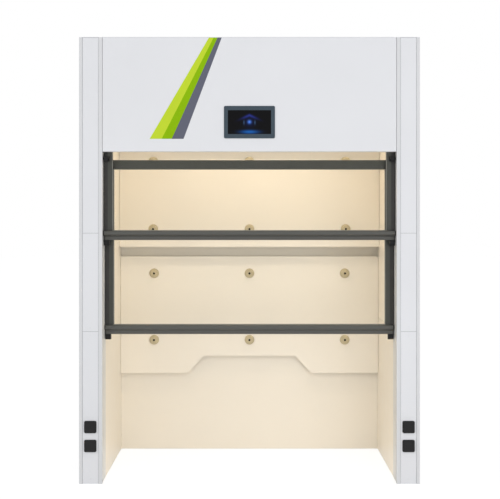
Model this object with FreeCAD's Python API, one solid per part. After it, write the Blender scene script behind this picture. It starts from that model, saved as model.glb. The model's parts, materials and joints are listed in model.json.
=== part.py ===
import FreeCAD, Part
import math
import os

from FreeCAD import Vector

# Overall body, in millimetres
WIDTH = 1800.0
BODY_DEPTH = 894.0
HEIGHT = 2360.0
POST_WIDTH = 122.5
HEADER_HEIGHT = 605.0
SKIN = 2.0
FOLD_RADIUS = 1.5
PANEL_GAP = 1.0
REAR_RECESS = 2.0
SAME_PLACE = 0.001

# Front posts with their sunk service channel
POST_OUTER_FLANGE = 17.0
POST_INNER_FLANGE = 20.0
POST_RECESS = 5.0
POST_OUTER_RETURN = 30.0
POST_INNER_RETURN = 20.0
COVER_SIDE_GAP = 1.6
LOWER_JOINT_Z = 804.0
UPPER_JOINT_Z = 1324.0

# Chamber lining
LINING = 6.0
ROOF_VOID = 178.0
REAR_VOID = 114.0
LINING_FLOOR_GAP = 3.0

# Sash tracks at the front of the side walls
TRACK_THICKNESS = 30.0
TRACK_REAR_MARGIN = 14.0
TRACK_TOP_GAP = 10.0
TRACK_WALL = 3.0
SLOT_WIDTH = 12.0
SLOT_REACH = 14.0

# Sashes: frame sections, glass and fittings
SASH_HEIGHT = 966.5
SASH_THICKNESS = 26.0
FRONT_SASH_DEPTH = 52.0
SASH_PASSING_GAP = 22.0
SASH_TOP_GAP = 12.0
SASH_STAGGER = 507.0
SASH_SIDE_GAP = 2.0
GUIDE_WIDTH = 22.0
GUIDE_TONGUE = 10.0
STILE_WIDTH = 23.0
STILE_BEVEL = 6.0
STILE_BEVEL_DROP = 4.0
TOP_RAIL_HEIGHT = 48.0
HANDLE_HEIGHT = 50.0
FRONT_NOSE = 26.0
REAR_NOSE = 18.0
NOSE_HEIGHT = 20.0
NOSE_SLOPE = 12.0
NOSE_ROUND = 9.0
FOOT_HEIGHT = 30.0
FOOT_WIDTH = 30.0
FOOT_HEEL = 5.0
FOOT_SLANT = 6.0
FOOT_TOE_ROUND = 10.0
FOOT_BACK_ROUND = 3.0
END_CAP = 4.0
END_CAP_INSET = 0.75
SASH_WALL = 3.0
GLASS_THICKNESS = 6.0
GLASS_BITE = 8.0
EDGE_ROUND = 1.5

# Rubber stop buffers on the front sash
BUFFER_RADIUS = 14.0
BUFFER_LENGTH = 24.0
BUFFER_ROUND = 3.0
BUFFER_BELOW_HEADER = 22.0
BUFFER_PLATE = 4.0
BUFFER_PLATE_HEIGHT = 26.0
BUFFER_PLATE_REACH = 33.0

# Counterbalance: pulleys, cables and weights in the side walls
PULLEY_DROP = 68.0
CABLE_RADIUS = 1.5
CABLE_INSET = 10.0
PULLEY_PITCH_RADIUS = 40.0
PULLEY_FLANGE = 5.0
PULLEY_RIM = 14.0
PULLEY_RIM_BAND = 11.0
PULLEY_WEB = 5.0
PULLEY_HUB_RADIUS = 13.0
PULLEY_HUB_LENGTH = 42.0
PULLEY_HOLES = 5
PULLEY_HOLE_RADIUS = 6.0
CABLE_CLEARANCE = 0.3
AXLE_RADIUS = 6.0
AXLE_CLEARANCE = 0.05
BRACKET_PLATE = 4.0
BRACKET_GAP = 2.0
BRACKET_DROP = 20.0
WEIGHT_WIDTH = 60.0
WEIGHT_DEPTH = 40.0
WEIGHT_CHAMFER = 4.0
FRONT_WEIGHT_LENGTH = 855.0
REAR_WEIGHT_LENGTH = 829.0
FRONT_WEIGHT_DROP = 668.0
REAR_WEIGHT_DROP = 890.0

# Inner frame
BASE_RAIL_HEIGHT = 40.0
BASE_RAIL_WALL = 3.0
BEAM_WIDTH = 30.0
BEAM_HEIGHT = 40.0
BEAM_WALL = 2.5
REAR_POST_WIDTH = 60.0
REAR_RAIL_HEIGHT = 40.0
REAR_RAILS = 3
REAR_RAIL_FOOT = 300.0
REAR_RAIL_DROP = 258.0

# Header: window for the screen, stripes
HEADER_SIDE_GAP = 1.5
HEADER_RETURN = 20.0
HEADER_LOWER_RETURN = 40.0
SCREEN_X = 0.0
SCREEN_RISE = 155.0
BEZEL_WIDTH = 269.5
BEZEL_HEIGHT = 171.0
BEZEL_CORNER = 8.0
BEZEL_PROUD = 4.0
BEZEL_ROUND = 1.2
GLASS_WIDTH = 228.0
GLASS_HEIGHT = 126.0
GLASS_SUNK = 0.8
HOUSING_INSET = 4.0
HOUSING_DEPTH = 42.0
HOUSING_CLEARANCE = 1.0
DECAL_THICKNESS = 0.4
DECAL_RISE = 67.0
DECAL_TOP_X = (-214.0, -189.0, -168.5, -146.5)
DECAL_BOTTOM_X = (-527.0, -463.5, -410.0, -348.0)

# Sockets in the lower covers
SOCKET_SIZE = 64.0
SOCKET_CORNER = 8.0
SOCKET_HEIGHTS = (200.5, 300.5)
SOCKET_FRAME_PROUD = 4.0
SOCKET_LID_PROUD = 6.0
SOCKET_LID_GAP = 0.2
SOCKET_BOX_INSET = 5.0
SOCKET_BOX_DEPTH = 40.0
SOCKET_HOLE_CLEARANCE = 1.0
WELL_RADIUS = 20.0
WELL_DEPTH = 14.0
CONTACT_RADIUS = 2.5
CONTACT_SPACING = 19.0
CONTACT_DEPTH = 12.0
LID_MARGIN = 3.0
LID_CORNER = 6.0
LID_HINGE_INSET = 4.0
LID_BARREL_RADIUS = 2.3
LID_BARREL_INSET = 5.4
LID_NECK = 4.0
TRUNNION_RADIUS = 1.5
TRUNNION_CLEARANCE = 0.06
TRUNNION_LENGTH = 3.0
EAR_WIDTH = 3.5
NOTCH_CLEARANCE = 0.6

# Baffles, spacers and lattice-rod bosses
BAFFLE_THICKNESS = 6.0
BAFFLE_SIDE_GAP = 4.0
LOWER_BAFFLE_GAP = 35.0
LOWER_BAFFLE_Z = 469.0
LOWER_BAFFLE_TOP_Z = 1174.0
NOTCH_TOP_Z = 573.0
NOTCH_TOP_HALF = 276.0
NOTCH_BOTTOM_HALF = 372.0
UPPER_BAFFLE_GAP = 89.0
UPPER_BAFFLE_Z = 1234.0
BAFFLE_TOP_GAP = 70.0
SLOPE_RUN = 352.0
BOSS_SIDE_GAP = 203.5
LOWER_BOSS_RISE = 201.0
LOWER_BOSS_DROP = 102.0
UPPER_BOSS_RISE = 106.0
UPPER_BOSS_DROP = 13.0
BOSS_RADIUS = 29.0
BOSS_EDGE = 4.0
BOSS_SHOULDER_RADIUS = 24.0
BOSS_SHOULDER = 14.0
BOSS_NECK_RADIUS = 11.0
BOSS_LENGTH = 20.0
ROD_HOLE_RADIUS = 6.5
ROD_HOLE_DEPTH = 17.0
SPACER_RADIUS = 12.0

# Lamp above the ceiling
LAMP_LENGTH = 1200.0
LAMP_SETBACK = 10.0
LAMP_BREADTH = 180.0
LAMP_HEIGHT = 60.0
LAMP_WALL = 1.5
LAMP_WINDOW_MARGIN = 35.0
LAMP_GLASS_LAP = 15.0
TUBE_RADIUS = 13.0
TUBE_SPACING = 70.0
TUBE_RISE = 36.0

# Exhaust spigot
SPIGOT_RADIUS = 157.5
SPIGOT_WALL = 2.5
SPIGOT_RISE = 70.0
SPIGOT_FLANGE_REACH = 17.5
SPIGOT_FLANGE = 4.0
ROOF_HOLE_CLEARANCE = 2.5

# Places worked out from the sizes above
HALF_WIDTH = WIDTH / 2
HALF_OPENING = HALF_WIDTH - POST_WIDTH
HALF_CHAMBER = HALF_OPENING + SKIN
FRONT_Y = -(BODY_DEPTH + SOCKET_LID_PROUD) / 2 + SOCKET_LID_PROUD
INNER_WIDTH = HALF_WIDTH - SKIN
TOP_Z = HEIGHT - SKIN
BACK_DEPTH = BODY_DEPTH - REAR_RECESS - SKIN
HEADER_Z = HEIGHT - HEADER_HEIGHT
CHANNEL_OUTER_X = HALF_WIDTH - POST_OUTER_FLANGE
CHANNEL_INNER_X = HALF_OPENING + POST_INNER_FLANGE
CHANNEL_X = (CHANNEL_OUTER_X + CHANNEL_INNER_X) / 2
COVER_DEPTH = POST_RECESS - SKIN
CHANNEL_BACK = POST_RECESS + SKIN
CEILING_Z = TOP_Z - ROOF_VOID
REAR_LINING_DEPTH = BODY_DEPTH - REAR_VOID
LINING_BACK_DEPTH = REAR_LINING_DEPTH + LINING

PULLEY_Z = TOP_Z - PULLEY_DROP
PULLEY_RADIUS = PULLEY_PITCH_RADIUS + PULLEY_FLANGE
TRACK_TOP_Z = PULLEY_Z - PULLEY_RADIUS - TRACK_TOP_GAP
FRONT_SASH_Z = TRACK_TOP_Z - SASH_TOP_GAP - SASH_HEIGHT
REAR_SASH_Z = FRONT_SASH_Z - SASH_STAGGER
REAR_SASH_DEPTH = FRONT_SASH_DEPTH + SASH_THICKNESS + SASH_PASSING_GAP
TRACK_END_DEPTH = REAR_SASH_DEPTH + SASH_THICKNESS + TRACK_REAR_MARGIN
SASH_HALF = HALF_CHAMBER - SASH_SIDE_GAP
STILE_OUTER_X = SASH_HALF - GUIDE_WIDTH
STILE_INNER_X = STILE_OUTER_X - STILE_WIDTH
CABLE_X = SASH_HALF - CABLE_INSET
PULLEY_X = CABLE_X + PULLEY_PITCH_RADIUS
WEIGHT_X = CABLE_X + 2 * PULLEY_PITCH_RADIUS
FRONT_CABLE_DEPTH = FRONT_SASH_DEPTH + SASH_THICKNESS / 2
REAR_CABLE_DEPTH = REAR_SASH_DEPTH + SASH_THICKNESS / 2
BRACKET_FRONT_DEPTH = FRONT_CABLE_DEPTH - PULLEY_HUB_LENGTH / 2 - BRACKET_PLATE
BRACKET_BACK_DEPTH = REAR_CABLE_DEPTH + PULLEY_HUB_LENGTH / 2 + BRACKET_PLATE

BEAM_Z = TOP_Z - BEAM_HEIGHT
REAR_POST_DEPTH = BACK_DEPTH - REAR_POST_WIDTH
SCREEN_Z = HEADER_Z + SCREEN_RISE
HOUSING_WIDTH = GLASS_WIDTH - 2 * HOUSING_INSET
HOUSING_HEIGHT = GLASS_HEIGHT - 2 * HOUSING_INSET
SOCKET_BOX = SOCKET_SIZE - 2 * SOCKET_BOX_INSET
SOCKET_HOLE = SOCKET_BOX + 2 * SOCKET_HOLE_CLEARANCE
LID_BARREL_HALF = SOCKET_SIZE / 2 - LID_BARREL_INSET
LOWER_BAFFLE_DEPTH = REAR_LINING_DEPTH - LOWER_BAFFLE_GAP
UPPER_BAFFLE_DEPTH = REAR_LINING_DEPTH - UPPER_BAFFLE_GAP
BAFFLE_BEND_Z = CEILING_Z - BAFFLE_TOP_GAP - SLOPE_RUN
BOSS_COLUMN_X = HALF_CHAMBER - BOSS_SIDE_GAP
LAMP_DEPTH = TRACK_END_DEPTH + LAMP_SETBACK
SPIGOT_DEPTH = (LAMP_DEPTH + LAMP_BREADTH + REAR_LINING_DEPTH) / 2
SPIGOT_FLANGE_RADIUS = SPIGOT_RADIUS + SPIGOT_FLANGE_REACH


def at(x, depth, z):
    """A point given by its depth behind the front face of the posts."""
    return Vector(x, FRONT_Y + depth, z)


def box(x0, x1, d0, d1, z0, z1):
    """A block between two X places, two depths and two heights."""
    return Part.makeBox(x1 - x0, d1 - d0, z1 - z0, at(x0, d0, z0))


def mirrored(shape):
    """The same piece on the other side of the middle plane."""
    return shape.mirror(Vector(0, 0, 0), Vector(1, 0, 0))


def both_sides(shape):
    return [shape, mirrored(shape)]


def rounded_face(corners, place):
    """A flat face through (u, v, radius) corners, put in space by place."""
    starts = []
    middles = []
    ends = []
    for index, (u, v, radius) in enumerate(corners):
        corner = Vector(u, v, 0)
        last = corners[index - 1]
        following = corners[(index + 1) % len(corners)]
        back = (Vector(last[0], last[1], 0) - corner).normalize()
        ahead = (Vector(following[0], following[1], 0) - corner).normalize()
        half = back.getAngle(ahead) / 2
        reach = radius / math.tan(half)
        bisector = (back + ahead).normalize()
        starts.append(corner + back * reach)
        middles.append(corner + bisector * (radius / math.sin(half) - radius))
        ends.append(corner + ahead * reach)
    edges = []
    for index in range(len(corners)):
        if corners[index][2] > 0:
            arc = Part.Arc(place(starts[index]), place(middles[index]), place(ends[index]))
            edges.append(arc.toShape())
        following = (index + 1) % len(corners)
        line = Part.LineSegment(place(ends[index]), place(starts[following]))
        edges.append(line.toShape())
    return Part.Face(Part.Wire(edges))


def prism_along_x(corners, x0, x1):
    """A section in depth and height, drawn out along X."""
    face = rounded_face(corners, lambda p: at(x0, p.x, p.y))
    return face.extrude(Vector(x1 - x0, 0, 0))


def prism_along_depth(corners, d0, d1):
    """A section in X and height, drawn out backwards."""
    face = rounded_face(corners, lambda p: at(p.x, d0, p.y))
    return face.extrude(Vector(0, d1 - d0, 0))


def prism_upright(corners, z0, z1):
    """A section in X and depth, drawn out upwards."""
    face = rounded_face(corners, lambda p: at(p.x, p.y, z0))
    return face.extrude(Vector(0, 0, z1 - z0))


def rounded_plate(x, z, width, height, corner, d0, d1):
    """An upright plate with four round corners, seen from the front."""
    corners = [
        (x - width / 2, z - height / 2, corner),
        (x + width / 2, z - height / 2, corner),
        (x + width / 2, z + height / 2, corner),
        (x - width / 2, z + height / 2, corner),
    ]
    return prism_along_depth(corners, d0, d1)


def rod_along_depth(x, z, radius, d0, d1):
    return Part.makeCylinder(radius, d1 - d0, at(x, d0, z), Vector(0, 1, 0))


def rod_along_x(x0, x1, depth, z, radius):
    return Part.makeCylinder(radius, x1 - x0, at(x0, depth, z), Vector(1, 0, 0))


def tube_bar(x0, x1, d0, d1, z0, z1, wall, along):
    """A square tube along X, depth or Z, open at its two ends."""
    inset = [wall, wall, wall]
    inset["XYZ".index(along)] = 0
    outer = box(x0, x1, d0, d1, z0, z1)
    inner = box(
        x0 + inset[0], x1 - inset[0], d0 + inset[1], d1 - inset[1], z0 + inset[2], z1 - inset[2]
    )
    return outer.cut(inner)


def front_edges(shape, depth):
    """The edges of a shape that lie in one plane facing the front."""
    found = []
    for edge in shape.Edges:
        places = [vertex.Y for vertex in edge.Vertexes]
        if max(abs(place - FRONT_Y - depth) for place in places) < SAME_PLACE:
            found.append(edge)
    return found


def right_post():
    """One front post: flange, sunk channel and flange folded from one sheet."""
    section = [
        (HALF_WIDTH, POST_OUTER_RETURN, 0),
        (HALF_WIDTH, 0, FOLD_RADIUS),
        (CHANNEL_OUTER_X, 0, FOLD_RADIUS),
        (CHANNEL_OUTER_X, POST_RECESS, 0),
        (CHANNEL_INNER_X, POST_RECESS, 0),
        (CHANNEL_INNER_X, 0, FOLD_RADIUS),
        (HALF_OPENING, 0, FOLD_RADIUS),
        (HALF_OPENING, POST_INNER_RETURN, 0),
        (HALF_OPENING + SKIN, POST_INNER_RETURN, 0),
        (HALF_OPENING + SKIN, SKIN, 0),
        (CHANNEL_INNER_X - SKIN, SKIN, 0),
        (CHANNEL_INNER_X - SKIN, CHANNEL_BACK, 0),
        (CHANNEL_OUTER_X + SKIN, CHANNEL_BACK, 0),
        (CHANNEL_OUTER_X + SKIN, SKIN, 0),
        (INNER_WIDTH, SKIN, 0),
        (INNER_WIDTH, POST_OUTER_RETURN, 0),
    ]
    post = prism_upright(section, 0, TOP_Z)
    return cut_socket_holes(post, POST_RECESS, CHANNEL_BACK)


def cut_socket_holes(shape, d0, d1):
    for z in SOCKET_HEIGHTS:
        half = SOCKET_HOLE / 2
        hole = box(CHANNEL_X - half, CHANNEL_X + half, d0, d1, z - half, z + half)
        shape = shape.cut(hole)
    return shape


def channel_cover(z0, z1):
    """A flat cover lying in the sunk channel of the right post."""
    x0 = CHANNEL_INNER_X + COVER_SIDE_GAP
    x1 = CHANNEL_OUTER_X - COVER_SIDE_GAP
    return box(x0, x1, COVER_DEPTH, POST_RECESS, z0 + PANEL_GAP, z1 - PANEL_GAP)


def right_socket_panel():
    return cut_socket_holes(channel_cover(0, LOWER_JOINT_Z), COVER_DEPTH, POST_RECESS)


def plain_covers():
    covers = []
    for z0, z1 in ((LOWER_JOINT_Z, UPPER_JOINT_Z), (UPPER_JOINT_Z, TOP_Z)):
        covers += both_sides(channel_cover(z0, z1))
    return Part.makeCompound(covers)


def header_panel():
    """The header: a shallow tray with a longer lower lip and the screen's window."""
    half = HALF_OPENING - HEADER_SIDE_GAP
    tray = box(-half, half, 0, HEADER_RETURN, HEADER_Z, TOP_Z)
    tray = tray.makeFillet(FOLD_RADIUS, front_edges(tray, 0))
    hollow = box(
        -half + SKIN, half - SKIN, SKIN, HEADER_RETURN, HEADER_Z + SKIN, TOP_Z - SKIN
    )
    tray = tray.cut(hollow)
    lip = box(-half, half, HEADER_RETURN, HEADER_LOWER_RETURN, HEADER_Z, HEADER_Z + SKIN)
    window_x = HOUSING_WIDTH / 2 + HOUSING_CLEARANCE
    window_z = HOUSING_HEIGHT / 2 + HOUSING_CLEARANCE
    window = box(
        SCREEN_X - window_x, SCREEN_X + window_x, 0, SKIN, SCREEN_Z - window_z, SCREEN_Z + window_z
    )
    return tray.fuse(lip).cut(window).removeSplitter()


def header_decal():
    """Three thin bands side by side that widen and lean to the left as they go down."""
    bands = []
    for index in range(len(DECAL_TOP_X) - 1):
        corners = [
            (DECAL_TOP_X[index], TOP_Z - FOLD_RADIUS, 0),
            (DECAL_TOP_X[index + 1], TOP_Z - FOLD_RADIUS, 0),
            (DECAL_BOTTOM_X[index + 1], HEADER_Z + DECAL_RISE, 0),
            (DECAL_BOTTOM_X[index], HEADER_Z + DECAL_RISE, 0),
        ]
        bands.append(prism_along_depth(corners, -DECAL_THICKNESS, 0))
    return Part.makeCompound(bands)


def screen_bezel():
    """The raised frame of the touch screen."""
    plate = rounded_plate(
        SCREEN_X, SCREEN_Z, BEZEL_WIDTH, BEZEL_HEIGHT, BEZEL_CORNER, -BEZEL_PROUD, 0
    )
    plate = plate.makeFillet(BEZEL_ROUND, front_edges(plate, -BEZEL_PROUD))
    return plate.cut(screen_block(-BEZEL_PROUD))


def screen_block(front):
    half_width = GLASS_WIDTH / 2
    half_height = GLASS_HEIGHT / 2
    return box(
        SCREEN_X - half_width, SCREEN_X + half_width, front, 0,
        SCREEN_Z - half_height, SCREEN_Z + half_height
    )


def screen_housing():
    half_width = HOUSING_WIDTH / 2
    half_height = HOUSING_HEIGHT / 2
    return box(
        SCREEN_X - half_width, SCREEN_X + half_width, 0, HOUSING_DEPTH,
        SCREEN_Z - half_height, SCREEN_Z + half_height
    )


def side_panel():
    """A side sheet, which reaches a little past the rear panel."""
    return box(INNER_WIDTH, HALF_WIDTH, POST_OUTER_RETURN, BODY_DEPTH, 0, TOP_Z)


def rear_panel():
    return box(-INNER_WIDTH, INNER_WIDTH, BACK_DEPTH, BACK_DEPTH + SKIN, 0, TOP_Z)


def roof_panel():
    roof = box(-HALF_WIDTH, HALF_WIDTH, 0, BODY_DEPTH, TOP_Z, HEIGHT)
    radius = SPIGOT_RADIUS + ROOF_HOLE_CLEARANCE
    hole = Part.makeCylinder(radius, SKIN, at(0, SPIGOT_DEPTH, TOP_Z))
    return roof.cut(hole)


def side_lining(z0, z1):
    return box(
        HALF_CHAMBER, HALF_CHAMBER + LINING, TRACK_END_DEPTH, LINING_BACK_DEPTH, z0, z1
    )


def rear_lining():
    return box(
        -HALF_CHAMBER, HALF_CHAMBER, REAR_LINING_DEPTH, LINING_BACK_DEPTH,
        LINING_FLOOR_GAP, CEILING_Z
    )


def lamp_window():
    """The X half length and the two depths of the window under the lamp."""
    half = LAMP_LENGTH / 2 - LAMP_WINDOW_MARGIN
    d0 = LAMP_DEPTH + LAMP_WINDOW_MARGIN
    d1 = LAMP_DEPTH + LAMP_BREADTH - LAMP_WINDOW_MARGIN
    return half, d0, d1


def ceiling_lining():
    """The chamber's ceiling with the lamp window and the exhaust hole."""
    top = CEILING_Z + LINING
    board = box(
        -HALF_CHAMBER, HALF_CHAMBER, TRACK_END_DEPTH, LINING_BACK_DEPTH, CEILING_Z, top
    )
    half, d0, d1 = lamp_window()
    window = box(-half, half, d0, d1, CEILING_Z, top)
    hole = Part.makeCylinder(SPIGOT_RADIUS - SPIGOT_WALL, LINING, at(0, SPIGOT_DEPTH, CEILING_Z))
    return board.cut(window).cut(hole)


def lamp_glass():
    half, d0, d1 = lamp_window()
    lap = LAMP_GLASS_LAP
    base = CEILING_Z + LINING
    return box(-half - lap, half + lap, d0 - lap, d1 + lap, base, base + GLASS_THICKNESS)


def lamp_housing():
    """An upside-down tray that stands on the ceiling round the lamp glass."""
    half = LAMP_LENGTH / 2
    base = CEILING_Z + LINING
    outer = box(-half, half, LAMP_DEPTH, LAMP_DEPTH + LAMP_BREADTH, base, base + LAMP_HEIGHT)
    inner = box(
        -half + LAMP_WALL, half - LAMP_WALL, LAMP_DEPTH + LAMP_WALL,
        LAMP_DEPTH + LAMP_BREADTH - LAMP_WALL, base, base + LAMP_HEIGHT - LAMP_WALL
    )
    return outer.cut(inner)


def lamp_tubes():
    half = LAMP_LENGTH / 2 - LAMP_WALL
    middle = LAMP_DEPTH + LAMP_BREADTH / 2
    z = CEILING_Z + LINING + TUBE_RISE
    tubes = []
    for side in (-1, 1):
        tubes.append(rod_along_x(-half, half, middle + side * TUBE_SPACING / 2, z, TUBE_RADIUS))
    return Part.makeCompound(tubes)


def exhaust_spigot():
    """A flanged duct spigot that stands on the ceiling and passes the roof."""
    base = CEILING_Z + LINING
    centre = at(0, SPIGOT_DEPTH, base)
    flange = Part.makeCylinder(SPIGOT_FLANGE_RADIUS, SPIGOT_FLANGE, centre)
    height = HEIGHT + SPIGOT_RISE - base
    tube = Part.makeCylinder(SPIGOT_RADIUS, height, centre)
    bore = Part.makeCylinder(SPIGOT_RADIUS - SPIGOT_WALL, height, centre)
    return flange.fuse(tube).cut(bore)


def upper_baffle():
    """One board, upright at the bottom and sloping forwards above its bend."""
    front = UPPER_BAFFLE_DEPTH
    back = front + BAFFLE_THICKNESS
    lean = BAFFLE_THICKNESS * math.sqrt(0.5)
    corner = BAFFLE_THICKNESS * math.tan(math.pi / 8)
    top = BAFFLE_BEND_Z + SLOPE_RUN
    section = [
        (front, UPPER_BAFFLE_Z, 0),
        (front, BAFFLE_BEND_Z, 0),
        (front - SLOPE_RUN, top, 0),
        (front - SLOPE_RUN + lean, top + lean, 0),
        (back, BAFFLE_BEND_Z + corner, 0),
        (back, UPPER_BAFFLE_Z, 0),
    ]
    half = HALF_CHAMBER - BAFFLE_SIDE_GAP
    return prism_along_x(section, -half, half)


def lower_baffle():
    """A flat board whose lower edge has a wide notch with slanting ends."""
    half = HALF_CHAMBER - BAFFLE_SIDE_GAP
    corners = [
        (-half, LOWER_BAFFLE_Z, 0),
        (-NOTCH_BOTTOM_HALF, LOWER_BAFFLE_Z, 0),
        (-NOTCH_TOP_HALF, NOTCH_TOP_Z, 0),
        (NOTCH_TOP_HALF, NOTCH_TOP_Z, 0),
        (NOTCH_BOTTOM_HALF, LOWER_BAFFLE_Z, 0),
        (half, LOWER_BAFFLE_Z, 0),
        (half, LOWER_BAFFLE_TOP_Z, 0),
        (-half, LOWER_BAFFLE_TOP_Z, 0),
    ]
    return prism_along_depth(corners, LOWER_BAFFLE_DEPTH, LOWER_BAFFLE_DEPTH + BAFFLE_THICKNESS)


def boss_places():
    """X, Z and front depth of each lattice-rod boss."""
    rows = [
        (LOWER_BAFFLE_Z + LOWER_BOSS_RISE, LOWER_BAFFLE_DEPTH),
        (LOWER_BAFFLE_TOP_Z - LOWER_BOSS_DROP, LOWER_BAFFLE_DEPTH),
        (UPPER_BAFFLE_Z + UPPER_BOSS_RISE, UPPER_BAFFLE_DEPTH),
        (BAFFLE_BEND_Z - UPPER_BOSS_DROP, UPPER_BAFFLE_DEPTH),
    ]
    return [(x, z, depth) for z, depth in rows for x in (-BOSS_COLUMN_X, 0, BOSS_COLUMN_X)]


def rod_boss(x, z, depth):
    """A domed boss with a blind hole for a lattice rod."""
    floor = BOSS_LENGTH - ROD_HOLE_DEPTH

    def point(radius, height):
        return at(x + radius, depth - height, z)

    dome = Part.Arc(
        point(BOSS_RADIUS, BOSS_EDGE),
        point(BOSS_SHOULDER_RADIUS, BOSS_SHOULDER),
        point(BOSS_NECK_RADIUS, BOSS_LENGTH)
    )
    path = [
        Part.makeLine(point(0, 0), point(BOSS_RADIUS, 0)),
        Part.makeLine(point(BOSS_RADIUS, 0), point(BOSS_RADIUS, BOSS_EDGE)),
        dome.toShape(),
        Part.makeLine(point(BOSS_NECK_RADIUS, BOSS_LENGTH), point(ROD_HOLE_RADIUS, BOSS_LENGTH)),
        Part.makeLine(point(ROD_HOLE_RADIUS, BOSS_LENGTH), point(ROD_HOLE_RADIUS, floor)),
        Part.makeLine(point(ROD_HOLE_RADIUS, floor), point(0, floor)),
        Part.makeLine(point(0, floor), point(0, 0)),
    ]
    return Part.Face(Part.Wire(path)).revolve(at(x, 0, z), Vector(0, 1, 0), 360)


def space_behind_slope():
    """The space over the bend of the upper baffle, behind its sloping face."""
    front = UPPER_BAFFLE_DEPTH
    reach = 2 * BOSS_RADIUS
    section = [
        (front, BAFFLE_BEND_Z, 0),
        (front, BAFFLE_BEND_Z + reach, 0),
        (front - reach, BAFFLE_BEND_Z + reach, 0),
    ]
    return prism_along_x(section, -HALF_CHAMBER, HALF_CHAMBER)


def rod_bosses():
    """All bosses; the top row is trimmed where it meets the sloping face."""
    behind = space_behind_slope()
    bosses = []
    for x, z, depth in boss_places():
        boss = rod_boss(x, z, depth)
        if z + BOSS_RADIUS > BAFFLE_BEND_Z:
            boss = boss.cut(behind)
        bosses.append(boss)
    return Part.makeCompound(bosses)


def baffle_spacers():
    """A post from the rear lining to the baffle behind each boss."""
    spacers = []
    for x, z, depth in boss_places():
        back = depth + BAFFLE_THICKNESS
        spacers.append(rod_along_depth(x, z, SPACER_RADIUS, back, REAR_LINING_DEPTH))
    return Part.makeCompound(spacers)


def slot_depths():
    half = SLOT_WIDTH / 2
    return [
        (FRONT_CABLE_DEPTH - half, FRONT_CABLE_DEPTH + half),
        (REAR_CABLE_DEPTH - half, REAR_CABLE_DEPTH + half),
    ]


def sash_track():
    """An extruded upright with a slot for each sash and hollow chambers between."""
    x0 = HALF_CHAMBER
    x1 = HALF_CHAMBER + TRACK_THICKNESS
    track = box(x0, x1, POST_INNER_RETURN, TRACK_END_DEPTH, 0, TRACK_TOP_Z)
    chamber_start = POST_INNER_RETURN + TRACK_WALL
    for d0, d1 in slot_depths():
        track = track.cut(box(x0, x0 + SLOT_REACH, d0, d1, 0, TRACK_TOP_Z))
        chamber = box(
            x0 + TRACK_WALL, x1 - TRACK_WALL, chamber_start, d0 - TRACK_WALL, 0, TRACK_TOP_Z
        )
        track = track.cut(chamber)
        behind = box(
            x0 + SLOT_REACH + TRACK_WALL, x1 - TRACK_WALL, d0, d1, 0, TRACK_TOP_Z
        )
        track = track.cut(behind)
        chamber_start = d1 + TRACK_WALL
    last = box(
        x0 + TRACK_WALL, x1 - TRACK_WALL, chamber_start, TRACK_END_DEPTH - TRACK_WALL,
        0, TRACK_TOP_Z
    )
    return track.cut(last)


def base_rail():
    """A channel lying on the floor under one side wall."""
    outer = INNER_WIDTH
    inner = HALF_CHAMBER + LINING
    wall = BASE_RAIL_WALL
    section = [
        (inner, 0, 0),
        (outer, 0, 0),
        (outer, BASE_RAIL_HEIGHT, 0),
        (outer - wall, BASE_RAIL_HEIGHT, 0),
        (outer - wall, wall, 0),
        (inner + wall, wall, 0),
        (inner + wall, BASE_RAIL_HEIGHT, 0),
        (inner, BASE_RAIL_HEIGHT, 0),
    ]
    return prism_along_depth(section, TRACK_END_DEPTH, BACK_DEPTH)


def top_beams():
    """Tubes round the top of the frame, under the roof."""
    beam_x = INNER_WIDTH - BEAM_WIDTH
    side = tube_bar(
        beam_x, INNER_WIDTH, CHANNEL_BACK, BACK_DEPTH, BEAM_Z, TOP_Z, BEAM_WALL, "Y"
    )
    bars = both_sides(side)
    front_x = HALF_CHAMBER + SKIN
    bars.append(tube_bar(
        -front_x, front_x, POST_INNER_RETURN, POST_INNER_RETURN + BEAM_WIDTH,
        BEAM_Z, TOP_Z, BEAM_WALL, "X"
    ))
    bars.append(tube_bar(
        -beam_x, beam_x, BACK_DEPTH - BEAM_WIDTH, BACK_DEPTH, BEAM_Z, TOP_Z, BEAM_WALL, "X"
    ))
    return Part.makeCompound(bars)


def rear_frame():
    """Two rear posts and the rails that carry the rear lining."""
    outer = INNER_WIDTH - BASE_RAIL_WALL
    post = tube_bar(
        outer - REAR_POST_WIDTH, outer, REAR_POST_DEPTH, BACK_DEPTH,
        BASE_RAIL_WALL, BEAM_Z, BEAM_WALL, "Z"
    )
    bars = both_sides(post)
    half = REAR_RAIL_HEIGHT / 2
    spacing = (TOP_Z - REAR_RAIL_DROP - REAR_RAIL_FOOT) / (REAR_RAILS - 1)
    for index in range(REAR_RAILS):
        z = REAR_RAIL_FOOT + index * spacing
        bars.append(tube_bar(
            -outer, outer, LINING_BACK_DEPTH, REAR_POST_DEPTH, z - half, z + half, BEAM_WALL, "X"
        ))
    return Part.makeCompound(bars)


def pulley_bracket():
    """A hanger under the roof with the axle of one side's two pulleys."""
    x0 = HALF_CHAMBER + SKIN + BRACKET_GAP
    x1 = INNER_WIDTH - BEAM_WIDTH
    plate = BRACKET_PLATE
    base = PULLEY_Z - BRACKET_DROP
    parts = box(x0, x1, BRACKET_FRONT_DEPTH, BRACKET_BACK_DEPTH, TOP_Z - plate, TOP_Z)
    for d0 in (BRACKET_FRONT_DEPTH, BRACKET_BACK_DEPTH - plate):
        parts = parts.fuse(box(x0, x1, d0, d0 + plate, base, TOP_Z - plate))
    axle = rod_along_depth(
        PULLEY_X, PULLEY_Z, AXLE_RADIUS, BRACKET_FRONT_DEPTH, BRACKET_BACK_DEPTH
    )
    return parts.fuse(axle).removeSplitter()


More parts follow.
